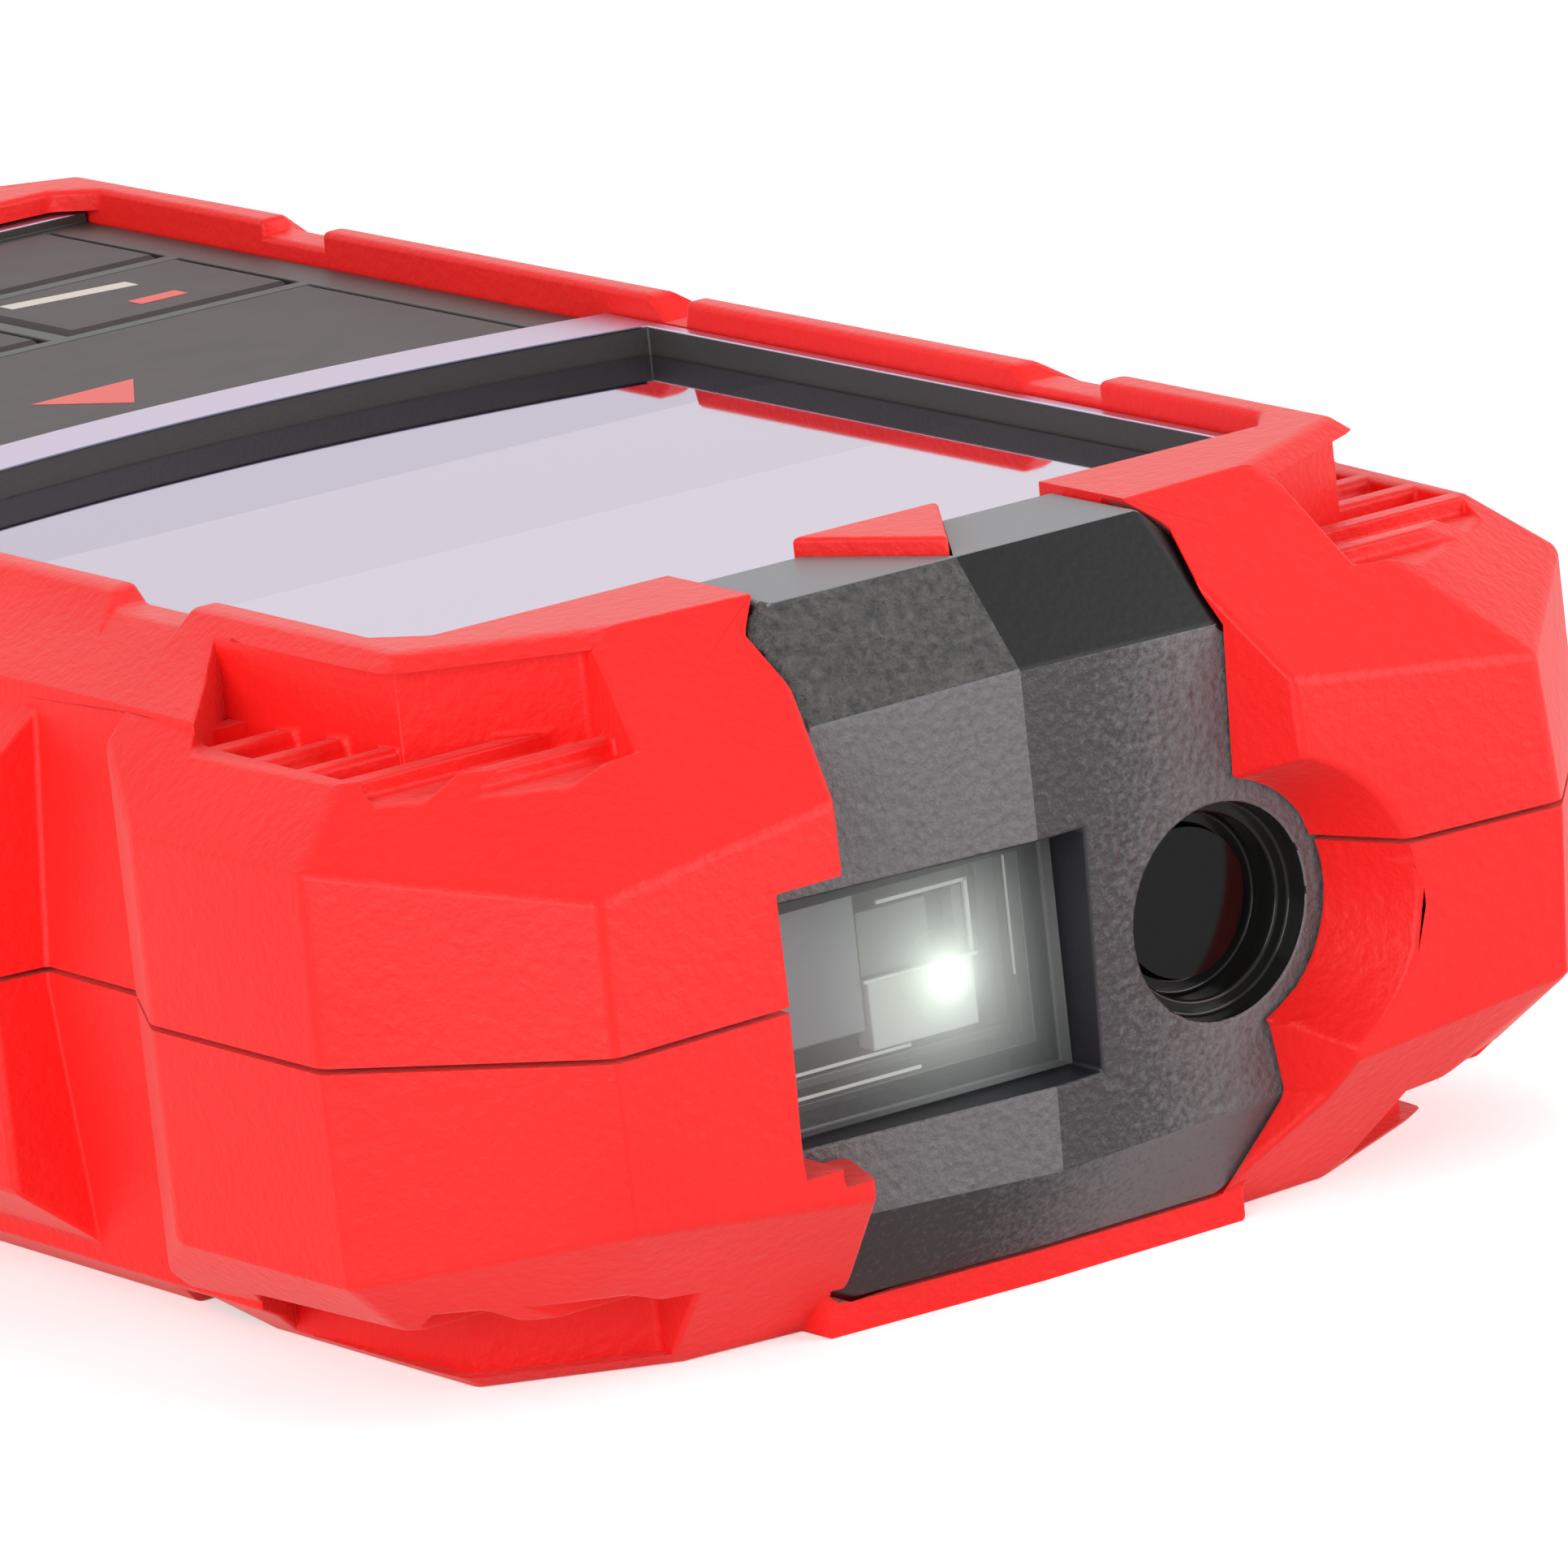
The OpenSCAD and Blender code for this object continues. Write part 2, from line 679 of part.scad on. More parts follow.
// One key: its cap with a softened edge, and the flange that keeps it in
module key(i, tint) {
    at = key_spots[i][0];
    size = key_spots[i][1];
    top = deck_z - field_d + key_proud;
    color(tint) difference() {
        translate([at.x, at.y, 0]) {
            block([-size.x / 2, -size.y / 2, flange_z], [size.x / 2, size.y / 2, top - 0.3]);
            hull_of([for (z = [top - 0.3, top], x = [-1, 1], y = [-1, 1])
                let(cut = z == top ? 0.25 : 0) [x * (size.x / 2 - cut), y * (size.y / 2 - cut), z]]);
        }
        strip_edge(key_gap);
    }
    color(tint) translate([at.x, at.y, 0]) {
        block([-size.x / 2 - flange_out - key_gap, -size.y / 2 - flange_out, flange_z],
            [size.x / 2 + flange_out + key_gap, size.y / 2 + flange_out, flange_z + flange_t]);
    }
}

module measure_key() key(0, "#58504c");
module function_key() key(1, "#4a4644");
module unit_key() key(2, "#4a4644");
module camera_key() key(3, "#4a4644");
module minus_key() key(4, "#4a4644");
module power_key() key(5, "#4a4644");
module plus_key() key(6, "#4a4644");

module key_mat() {
    color("#7d7a76")
    block([-field_w / 2 - 0.2, field_front - 0.3, board_top + 0.6],
        [field_w / 2 + 0.2, field_rear + 0.3, mat_top]);
}

module dome_switches() {
    color("#c9c4b4") for (k = key_spots)
        translate([k[0].x, k[0].y, board_top]) cylinder(d1 = 6, d2 = 4.4, h = 0.5);
}

// ---- Nose ----

lip_z = 1.4;
function nose_low_y() = front_y + nose_setback + 2.9;

// The nose; g grows it for the armour's clearance
module nose_form(g) {
    y = front_y + nose_setback;
    top_y = front_y + nose_top_setback;
    w = nose_w / 2 + g;
    t = nose_top_w / 2 + g;
    points = [
        [t, top_y + 2.8, 0.3 - g], [t, top_y - g, 0.3 - g], [0, top_y - 0.1 - g, 0.3 - g],
        [t + 1, y + 0.5 - g, 5], [0, y - g, 4.7], [0, y - g, 11.4],
        [w, y + 1.4 - g, 12], [w, y + 2.1 - g, 26], [w, y + case_setback - 4.2, 8],
        [w, y + case_setback - 4.2, 24], [t, y + case_setback - 4.2, body_h - lip_z - 0.1 + g],
        [0, y + 0.7 - g, 26.5],
        [t, y + 3.3 - g, body_h - lip_z - 0.1 + g],
        [0, nose_low_y() - g, body_h - lip_z - 0.1 + g]];
    hull_of(both([for (p = points) [p.x, p.y, body_h - p.z]]));
}

nose_back = front_y + case_setback - 0.4;
wall_y = front_y + nose_setback + 1.4 + nose_t;

module nose_cover() {
    color("#5f5f61")
    difference() {
        union() {
            intersection() {
                nose_form(0);
                difference() {
                    block([-far, -far, -1], [far, nose_back, far]);
                    // Hollow behind the front wall
                    block([-nose_w / 2 + 2, wall_y, lip_z + 3.4],
                        [nose_w / 2 - 2, far, body_h - 4.4]);
                }
            }
            // Tongue of the nose that reaches back to the display
            block([-nose_top_w / 2, front_y + nose_top_setback + 0.3, deck_z + fit_gap],
                [nose_top_w / 2, front_y + deck_setback + 2, body_h - 0.3]);
            // Tube round the laser and frame round the receiver
            rod_y(laser_d + 2.4, laser_x, optic_z, wall_y - 1, nose_back);
        }
        // Stepped bore for the beam
        rod_y(laser_d, laser_x, optic_z, front_y, wall_y - 1.2);
        rod_y(laser_d - 1.4, laser_x, optic_z, front_y, wall_y + 0.4);
        rod_y(laser_d - 2.8, laser_x, optic_z, front_y, far);
        // Stepped opening for the receiver
        window_block(0, front_y, window_back);
        window_block(-1.2, front_y, far);
        mark_form(fit_gap);
    }
}

window_mid = window_x - window_w / 2;
window_back = front_y + nose_setback + 1.4 + window_d + window_t;

// A block through the receiver's window, grown by g on each side
module window_block(g, from_y, to_y) {
    block([window_mid - window_w / 2 - g, from_y, optic_z - window_h / 2 - g],
        [window_mid + window_w / 2 + g, to_y, optic_z + window_h / 2 + g]);
}

// The aiming mark, grown by g
module mark_form(g) {
    y = front_y + nose_top_setback + 0.3;
    translate([0, 0, deck_z + fit_gap - 0.01])
        linear_extrude(body_h + mark_proud - deck_z - fit_gap)
        polygon([[-mark_w / 2 - 1.4 * g, y + mark_l + g], [mark_w / 2 + 1.4 * g, y + mark_l + g],
            [0, y - 1.6 * g]]);
}

module aim_mark() {
    color("#e8262a") mark_form(0);
}

// ---- Optics ----

chassis_y = front_y + case_setback + 0.1;

// The block of the optics chassis, grown by g and lengthened at its rear
module chassis_block(g, rear) {
    block([window_mid - window_w / 2 - 1.4 - g, chassis_y - g, waist_z + wall + 0.15 - g],
        [laser_x + barrel_d / 2 + 2 + g, chassis_y + chassis_l + rear, chassis_top + g]);
}

module optics_chassis() {
    color("#202022")
    difference() {
        chassis_block(0, 0);
        rod_y(barrel_d + 0.1, laser_x, optic_z, chassis_y - 1, chassis_y + chassis_l + 1);
        window_block(-1.8, chassis_y - 1, lens_y + lens_t + 0.1);
        block([window_mid - 3, chassis_y, optic_z - 3], [window_mid + 3, far, optic_z + 3]);
    }
}

lens_y = chassis_y + 1;

module receiver_lens() {
    color([0.75, 0.85, 0.88, 0.6])
    intersection() {
        block([window_mid - lens_w / 2, lens_y - 1, optic_z - window_h / 2 + 1.9],
            [window_mid + lens_w / 2, lens_y + lens_t, optic_z + window_h / 2 - 1.9]);
        translate([window_mid, lens_y + lens_r, optic_z]) rotate([90, 0, 0])
            rotate_extrude() intersection() {
                circle(r = lens_r);
                square(lens_r + 1);
            }
    }
}

module receiver_window() {
    color([0.8, 0.86, 0.9, 0.5])
    window_block(-0.1, window_back - window_t, window_back);
}

module laser_module() {
    color("#c8a24a")
    difference() {
        union() {
            rod_y(barrel_d, laser_x, optic_z, chassis_y + 1, chassis_y + 1 + barrel_l);
            rod_y(barrel_d - 1.6, laser_x, optic_z, chassis_y + 1, chassis_y + chassis_l - 2);
        }
        rod_y(barrel_d - 2.4, laser_x, optic_z, chassis_y, chassis_y + 4);
    }
}

module laser_window() {
    color([0.75, 0.8, 0.85, 0.5])
    rod_y(laser_d - 2.9, laser_x, optic_z, nose_back - 1.1, nose_back - 0.1);
}

module detector_board() {
    from = chassis_y + chassis_l + 0.1;
    color("#1f6b3a") block([window_mid - window_w / 2 - 1, from, optic_z - window_h / 2 + 0.7],
        [laser_x + barrel_d / 2 + 1.6, from + detector_t, optic_z + window_h / 2 + 1.1]);
}

module lamp_led() {
    color("#f2f6ea")
    translate([window_mid, chassis_y + chassis_l, optic_z]) rotate([90, 0, 0]) {
        cylinder(d = 5, h = 1);
        cylinder(d = 3, h = 4);
    }
}

// ---- Battery ----

module battery_cells() {
    for (x = [-1, 1]) color(x < 0 ? "#3b3f46" : "#3b3f46") {
        rod_y(cell_d, x * cell_x, cell_z, cell_y, cell_y + cell_l - 1);
        rod_y(5.4, x * cell_x, cell_z, cell_y + cell_l - 1, cell_y + cell_l);
    }
}

module battery_springs() {
    color("#c8c8cc") for (x = [-1, 1])
        translate([x * cell_x, cell_y - spring_l, cell_z]) rotate([-90, 0, 0])
            difference() {
                cylinder(d1 = cell_d - 4.5, d2 = cell_d - 8.5, h = spring_l);
                translate([0, 0, -1]) cylinder(d = cell_d - 10.5, h = far);
            }
}

module contact_plates() {
    color("#c8c8cc") for (x = [-1, 1], y = [bay_y + 0.05, bay_end - contact_t - 0.05])
        block([x * cell_x - contact_w / 2, y, cell_z - cell_d / 3],
            [x * cell_x + contact_w / 2, y + contact_t, cell_z + cell_d / 3]);
}

// The way that the door slides in, with a gap g round the door
module door_way(g) {
    block([-door_w / 2 - g, door_front - g, -1], [door_w / 2 + g, rear_y + 5, tongue_z - g + eps]);
    block([-door_w / 2 - tongue_w - g, door_front - g, tongue_z - g],
        [door_w / 2 + tongue_w + g, rear_y + 5, door_top + 0.1]);
}

module battery_door() {
    low = 0.5;
    top = door_top - 0.2;
    split = rear_y - rim_setback - 1;
    color("#d9242a")
    difference() {
        union() {
            block([-door_w / 2, door_front, low], [door_w / 2, split, top]);
            intersection() {
                block([-door_w / 2, split - 0.1, low], [door_w / 2, rear_y, top]);
                translate([0, -0.3, 0]) rear_block();
            }
            block([-door_w / 2 - tongue_w, door_front, tongue_z],
                [door_w / 2 + tongue_w, rear_y - case_setback - wall, top]);
        }
        // Finger grooves across the door
        for (i = [0:5])
            block([-11, split - 3 - i * 2.2, 0], [11, split - 1.8 - i * 2.2, low + 0.5]);
    }
}

// ---- Mount and fasteners ----

module tripod_bush() {
    color("#c8a24a")
    difference() {
        translate([0, bush_y, 0.4]) cylinder(d = bush_d - 0.1, h = bush_l);
        translate([0, bush_y, -1]) cylinder(d = thread_d, h = far);
    }
}

screw_head_z = waist_z + wall;
screw_end = shoulder_z - wall - 2.6;

module case_screws() {
    color("#9a9a9e") for (p = screw_spots) translate([p.x, p.y, 0]) difference() {
        union() {
            translate([0, 0, screw_head_z - screw_head_h])
                cylinder(d = screw_head_d, h = screw_head_h);
            translate([0, 0, screw_head_z - eps])
                cylinder(d = screw_d, h = screw_end - screw_head_z);
        }
        translate([0, 0, screw_head_z - screw_head_h - 1])
            cylinder(d = screw_d * 0.8, h = screw_head_h / 2 + 1, $fn = 6);
    }
}

module buzzer() {
    color("#2a2a2c") difference() {
        translate([buzzer_x, buzzer_y, board_top - board_t - buzzer_h])
            cylinder(d = buzzer_d, h = buzzer_h);
        translate([buzzer_x, buzzer_y, 0]) cylinder(d = 2, h = board_top - board_t - 2);
    }
}

upper_armour();
lower_armour();
upper_shell();
lower_shell();
case_gasket();
nose_cover();
aim_mark();
display_window();
lcd_panel();
backlight();
main_board();
board_chips();
dome_switches();
key_mat();
measure_key();
function_key();
unit_key();
camera_key();
minus_key();
power_key();
plus_key();
optics_chassis();
laser_module();
laser_window();
receiver_lens();
receiver_window();
detector_board();
lamp_led();
battery_cells();
battery_springs();
contact_plates();
battery_door();
tripod_bush();
case_screws();
buzzer();
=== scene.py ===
"""A handheld laser distance meter in thick faceted armour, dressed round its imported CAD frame."""

import math

import bmesh
import bpy
from mathutils import Matrix, Vector
from mathutils.bvhtree import BVHTree


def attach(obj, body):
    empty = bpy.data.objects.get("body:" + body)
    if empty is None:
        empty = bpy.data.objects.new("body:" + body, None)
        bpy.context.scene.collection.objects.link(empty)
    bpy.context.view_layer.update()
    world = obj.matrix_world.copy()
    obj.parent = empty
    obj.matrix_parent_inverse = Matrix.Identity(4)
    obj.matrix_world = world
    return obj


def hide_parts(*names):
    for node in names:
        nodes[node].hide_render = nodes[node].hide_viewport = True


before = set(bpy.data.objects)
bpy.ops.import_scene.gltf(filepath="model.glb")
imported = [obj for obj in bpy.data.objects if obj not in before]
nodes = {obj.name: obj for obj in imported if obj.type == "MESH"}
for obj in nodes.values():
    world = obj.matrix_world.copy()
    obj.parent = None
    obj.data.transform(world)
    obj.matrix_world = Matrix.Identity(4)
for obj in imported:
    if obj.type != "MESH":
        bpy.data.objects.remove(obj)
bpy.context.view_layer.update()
scene = bpy.context.scene
MM = 0.001

# Places that the pieces share, in millimetres, as in the part's source
DECK_Z, GLASS_TOP, KEY_TOP = 30.4, 29.1, 30.0
FILM_FRONT, FILM_REAR = -51.2, 1.6
BOW_Y, BOW_R = -79.11, 80.71
LASER_X, OPTIC_Z = 9.5, 14.2
PANE_FRONT, PANE_REAR, TRAP_REAR = -58.5, -57.5, -56.05
WINDOW_LEFT, WINDOW_RIGHT, WINDOW_LOW, WINDOW_HIGH = -14.8, 2.4, 9.0, 19.4

# How CAD solids are merged and rounded, in millimetres and degrees
CUTS = ((0, 0), (1, -40), (1, -15), (1, 15), (1, 40))  # axis and place of cuts in large faces
COPLANAR = 0.4  # faces that meet at less than this become one
ROOM_SHARE = 0.4  # the most of the room beside an edge that its rounding takes
LEAST_SHARE = 0.2  # an edge that would get less of its full width stays sharp
STRAY = 0.2  # rounded corners further off the CAD surface than this go back to it
SPIKE, SPIKE_L = 6, 0.6  # corners more acute than this, on edges shorter than this, are welded
SHARP = 38  # edges over this after the rounding shade as sharp
FLAT = 0.02  # radians: edges under this don't limit the rounding of their neighbours


# ---- Colours and nodes ----


def colour(code):
    """An sRGB hex colour as the linear numbers that the shaders take."""
    parts = [int(code[i : i + 2], 16) / 255 for i in (1, 3, 5)]
    linear = [p / 12.92 if p <= 0.04045 else ((p + 0.055) / 1.055) ** 2.4 for p in parts]
    return (*linear, 1.0)


def add(tree, kind, settings=None, links=None):
    """A node of that kind with its settings, and its inputs set or linked by name or number."""
    node = tree.nodes.new("ShaderNode" + kind)
    for name, value in (settings or {}).items():
        setattr(node, name, value)
    for name, value in (links or {}).items():
        if isinstance(value, bpy.types.NodeSocket):
            tree.links.new(value, node.inputs[name])
        else:
            node.inputs[name].default_value = value
    return node


def material(name, code, roughness, metallic=0.0, ior=1.5, gloss=0.5):
    """A new material with its main shader set, and the piece's own coordinates."""
    made = bpy.data.materials.new(name)
    made.use_nodes = True
    tree = made.node_tree
    shader = tree.nodes["Principled BSDF"]
    shader.inputs["Base Color"].default_value = colour(code)
    shader.inputs["Roughness"].default_value = roughness
    shader.inputs["Metallic"].default_value = metallic
    shader.inputs["IOR"].default_value = ior
    shader.inputs["Specular IOR Level"].default_value = gloss
    return made, tree, shader, add(tree, "TexCoord").outputs["Object"]


def per_mm(size):
    """The scale of a texture whose features are that many millimetres across."""
    return 1 / (size * MM)


def press(tree, shader, pattern, depth, strength):
    """Presses a pattern into the surface, so many millimetres deep, over any pressed before."""
    links = {"Height": pattern, "Distance": depth * MM, "Strength": strength}
    surface = shader.inputs["Normal"]
    if surface.is_linked:
        links["Normal"] = surface.links[0].from_socket
    tree.links.new(add(tree, "Bump", links=links).outputs["Normal"], surface)


def grained(tree, shader, where, size, depth, strength=0.5, detail=3.0, rough=0.6):
    """Presses a cloudy grain into the surface, its size and depth in millimetres."""
    links = {"Vector": where, "Scale": per_mm(size), "Detail": detail, "Roughness": rough}
    grain = add(tree, "TexNoise", links=links).outputs["Fac"]
    press(tree, shader, grain, depth, strength)
    return grain


def pitted(tree, shader, where, size, depth, strength):
    """Presses rounded cells into the surface, as in leather, in millimetres."""
    links = {"Vector": where, "Scale": per_mm(size), "Smoothness": 0.6}
    pits = add(tree, "TexVoronoi", {"feature": "SMOOTH_F1"}, links).outputs["Distance"]
    press(tree, shader, pits, depth, strength)


def mottled(tree, shader, pattern, dark, light):
    """Varies the base colour between two hex codes over the middle of a pattern's range."""
    ramp = add(tree, "ValToRGB", links={"Fac": pattern})
    for stop, position, code in zip(ramp.color_ramp.elements, (0.3, 0.7), (dark, light)):
        stop.position = position
        stop.color = colour(code)
    tree.links.new(ramp.outputs["Color"], shader.inputs["Base Color"])


# ---- Finishes ----


def moulded_armour():
    """Thermoplastic rubber from a spark-eroded tool: a satin red that varies a little from
    place to place and pales at low angles, under a leathery grain. The real grain is finer,
    and is drawn as coarse as it needs to show."""
    made, tree, shader, where = material("armour_rubber", "#ee1e1b", 0.45, gloss=0.3)
    links = {"Vector": where, "Scale": per_mm(14), "Detail": 3.0, "Roughness": 0.5}
    mottled(tree, shader, add(tree, "TexNoise", links=links).outputs["Fac"], "#ea1b19", "#f2211d")
    shader.inputs["Sheen Weight"].default_value = 0.22
    shader.inputs["Sheen Roughness"].default_value = 0.3
    shader.inputs["Sheen Tint"].default_value = colour("#ffe4dc")
    pitted(tree, shader, where, 0.7, 0.06, 0.4)
    grained(tree, shader, where, 0.4, 0.09, 0.55, rough=0.55)
    return made


def nose_plastic(name, code, dark, light, grain, depth, fade=None, gloss=0.5):
    """ABS from a spark-eroded tool, whose grain gives it a speckled grey sparkle. The real
    grain is nearer 0.1 mm, and is drawn as coarse as it needs to show.

    A fade, which is painted shade, darkens it on the -X side of two places across and lightens it
    on the +X side."""
    made, tree, shader, where = material(name, code, 0.45, gloss=gloss)
    pitted(tree, shader, where, grain * 1.5, depth, 0.6)
    speckle = grained(tree, shader, where, grain, depth, 0.8, 4, 0.65)
    if fade:
        across = add(tree, "SeparateXYZ", links={"Vector": where}).outputs["X"]
        links = {"Value": across, "From Min": fade[0] * MM, "From Max": fade[1] * MM}
        links |= {"To Min": -0.25, "To Max": 0.25}
        lift = add(tree, "MapRange", {"interpolation_type": "SMOOTHSTEP"}, links)
        links = {0: speckle, 1: lift.outputs["Result"]}
        speckle = add(tree, "Math", {"operation": "ADD"}, links).outputs["Value"]
    mottled(tree, shader, speckle, dark, light)
    return made


def plastic(name, code, roughness, grain=0.25, depth=0.02, strength=0.5, gloss=0.5):
    """A moulded or coated piece in one colour, whose even grain softens its highlights."""
    made, tree, shader, where = material(name, code, roughness, gloss=gloss)
    grained(tree, shader, where, grain, depth, strength)
    return made


def metal(name, code, roughness, marks=0.3, depth=0.004, strength=0.3):
    """Turned, pressed or vapour-coated metal, whose faint marks break up what it mirrors."""
    made, tree, shader, where = material(name, code, roughness, 1.0)
    grained(tree, shader, where, marks, depth, strength, 2, 0.5)
    return made


def display_film():
    """Metallised film over the display: a lilac mirror with the ripple of a glued sheet, and
    darker in bands towards the rear."""
    made, tree, shader, where = material("display_film", "#bfb1c7", 0.04, 1.0)
    along = add(tree, "SeparateXYZ", links={"Vector": where}).outputs["Y"]
    links = {"Value": along, "From Min": FILM_FRONT * MM, "From Max": FILM_REAR * MM}
    reach = add(tree, "MapRange", links=links).outputs["Result"]
    bands = add(tree, "ValToRGB", links={"Fac": reach})
    ramp = bands.color_ramp
    ramp.interpolation = "CONSTANT"
    ramp.elements[0].color = colour("#c9bccf")
    ramp.elements[1].position = 0.45
    ramp.elements[1].color = colour("#bfb1c7")
    ramp.elements.new(0.74).color = colour("#ab9db7")
    tree.links.new(bands.outputs["Color"], shader.inputs["Base Color"])
    grained(tree, shader, where, 9, 0.004, 0.2, 1, 0.5)
    return made


def key_plastic():
    """Keycaps of dark ABS, whose soft-touch coat is matt and a dusty pink-grey."""
    made, tree, shader, where = material("key_abs", "#372b2b", 0.62)
    links = {"Vector": where, "Scale": per_mm(3), "Detail": 3.0, "Roughness": 0.5}
    mottled(tree, shader, add(tree, "TexNoise", links=links).outputs["Fac"], "#322727", "#3b2f30")
    grained(tree, shader, where, 0.22, 0.015)
    return made


def print_ink(name, code):
    """Printed ink, matt and a little worn."""
    return plastic(name, code, 0.5, depth=0.01, strength=0.4)


def smeared(tree, shader, where):
    """Gives glass the faint smears of a wiped pane."""
    grained(tree, shader, where, 4, 0.001, 0.15, 2, 0.5)


def window_pane():
    """Coated glass in front of the receiver. A pale glow is painted into the coating near its
    middle, and away from it the parts behind show through."""
    made, tree, shader, where = material("coated_glass", "#dfe6e4", 0.03, ior=1.45)
    spot, radius = (-3.3 * MM, PANE_FRONT * MM, 14.1 * MM), 7.8 * MM
    off = add(tree, "VectorMath", {"operation": "SUBTRACT"}, {0: where, 1: spot}).outputs["Vector"]
    away = add(tree, "VectorMath", {"operation": "LENGTH"}, {0: off}).outputs["Value"]
    links = {"Value": away, "From Max": radius, "To Min": 1.0, "To Max": 0.0}
    near = add(tree, "MapRange", links=links).outputs["Result"]
    halo = add(tree, "ValToRGB", links={"Fac": near})
    halo.color_ramp.interpolation = "B_SPLINE"
    halo.color_ramp.elements[1].color = (1, 1, 1, 1)
    for position, share in ((0.25, 0.04), (0.5, 0.11), (0.7, 0.21), (0.85, 0.42)):
        halo.color_ramp.elements.new(position).color = (share, share, share, 1)
    glow = halo.outputs["Color"]
    veil = add(tree, "MapRange", links={"Value": glow, "To Min": 0.07, "To Max": 1.0})
    tree.links.new(veil.outputs["Result"], shader.inputs["Alpha"])
    # The painted glow, strongest at the middle
    tree.links.new(glow, shader.inputs["Emission Strength"])
    shader.inputs["Emission Color"].default_value = colour("#e9ffe6")
    smeared(tree, shader, where)
    return made


def clear_glass():
    """Polished optical glass, clear with a cold tinge."""
    made, tree, shader, where = material("optic_glass", "#eef4f6", 0.02, ior=1.52)
    shader.inputs["Transmission Weight"].default_value = 1.0
    smeared(tree, shader, where)
    return made


armour = moulded_armour()
# The nose is one moulding in one grey. Plain light parts its facets too weakly, so here each
# has greys of its own, and part of its shade is painted: mid grey in front, pale on the top,
# stippled or nearly black on the slants above, dark below, with a painted fade across the
# side and the low facets
nose_front = nose_plastic("nose_abs", "#636365", "#59585a", "#6b6a6c", 0.3, 0.16)
nose_side = nose_plastic("nose_abs_painted_ramp", "#4e4d50", "#343335", "#686769", 0.3, 0.12, (1, 13))
nose_left = nose_plastic("nose_abs_stippled_shaded", "#3f3e40", "#141315", "#585654", 0.45, 0.6)
nose_right = nose_plastic(
    "nose_abs_shaded", "#141315", "#111012", "#19181a", 0.3, 0.02, gloss=0.25
)
nose_low = nose_plastic("nose_abs_low", "#3c3b3d", "#282729", "#626163", 0.25, 0.03, (-7, 7))
nose_top = plastic("nose_abs_smooth", "#77767a", 0.45)
# Black ABS round the optics: satin in the light trap, glossy in the laser's bore
trap_black = plastic("trap_abs", "#232328", 0.4)
bore_black = plastic("bore_gloss_abs", "#1b1b1a", 0.12, 1.2, 0.01, gloss=0.25)
# The hard case is dark matt ABS, a little coarser in the display's recess
case = plastic("case_abs", "#2f2e2b", 0.48)
recess = plastic("recess_abs", "#2e2c29", 0.55, 0.35, 0.04)
# The display's film also lies on the deck, where a soft coat under it blurs what it mirrors
film = display_film()
deck_film = metal("deck_film", "#b9abc1", 0.3, 0.4, 0.005, 0.4)
keys = key_plastic()
pane = window_pane()
glass = clear_glass()
# Nearly black glass at the end of the bore, a faint dark mirror
dark_glass = plastic("dark_bore_glass", "#060607", 0.08, 3.0, 0.002, gloss=0.25)
# Inside the case: satin black ABS, glossy green solder mask, matt grey silicone, a white
# diffuser, smooth plastic sleeves, warm brass and bright plated steel
black = plastic("chassis_abs", "#1a1a1b", 0.4)
green_board = plastic("board_mask", "#1f6b3a", 0.35)
grey_rubber = plastic("mat_rubber", "#7d7a76", 0.6)
pale = plastic("backlight_frame", "#e6e6e2", 0.4)
sleeve = plastic("cell_sleeve", "#3b3f46", 0.25)
brass = metal("turned_brass", "#c8a24a", 0.3)
steel = metal("plated_steel", "#c8c8cc", 0.3)
# Behind the receiver's window: coated blocks from mid grey to nearly white, with a soft shine
block_pale = plastic("block_pale", "#7f868a", 0.3, 2.0)
block_mid = plastic("block_mid", "#6f7673", 0.3, 2.0)
block_bright = plastic("block_bright", "#bfc6c2", 0.3, 2.0)
# Painted glints: pale paint for the thin bars along the blocks' edges
painted_glint = plastic("painted_glint", "#d5dad6", 0.3)
line_blue = print_ink("edge_ink", "#1c2350")
ink_red = print_ink("red_ink", "#e8564e")
ink_white = print_ink("white_ink", "#d9cfc5")

# The CAD nodes that show as they are, by finish
DRESSED = (
    ("battery_door", armour),
    ("lower_shell", case),
    ("display_window", film),
    ("measure_key function_key unit_key camera_key minus_key power_key plus_key", keys),
    ("laser_window", dark_glass),
    ("receiver_lens", glass),
    ("optics_chassis board_chips buzzer case_gasket lcd_panel", black),
    ("main_board detector_board", green_board),
    ("key_mat", grey_rubber),
    ("backlight lamp_led", pale),
    ("battery_cells", sleeve),
    ("tripod_bush laser_module", brass),
    ("battery_springs contact_plates case_screws dome_switches", steel),
)
for names, finish in DRESSED:
    for name in names.split():
        mesh = nodes[name].data
        mesh.materials.clear()
        mesh.materials.append(finish)


# ---- Pieces ----


def piece(name, bm, finishes, body, smooth=False):
    """Turns a bmesh, in millimetres, into a piece that rides on a body."""
    bmesh.ops.scale(bm, vec=(MM, MM, MM), verts=bm.verts)
    mesh = bpy.data.meshes.new(name)
    bm.to_mesh(mesh)
    bm.free()
    mesh.polygons.foreach_set("use_smooth", [smooth] * len(mesh.polygons))
    made = bpy.data.objects.new(name, mesh)
    scene.collection.objects.link(made)
    for finish in finishes:
        mesh.materials.append(finish)
    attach(made, body)
    return made


def bar(bm, low, high, cut=0.0):
    """A block between two corners, its edges cut by a small bevel."""
    made = bmesh.ops.create_cube(bm, size=1)["verts"]
    bmesh.ops.scale(bm, vec=[b - a for a, b in zip(low, high)], verts=made)
    bmesh.ops.translate(bm, vec=[(a + b) / 2 for a, b in zip(low, high)], verts=made)
    if cut:
        bmesh.ops.bevel(
            bm,
            geom=list(dict.fromkeys(e for v in made for e in v.link_edges)),
            offset=cut,
            segments=2,
            profile=0.5,
            affect="EDGES",
            material=-1,
        )


# ---- CAD solids with rounded edges ----


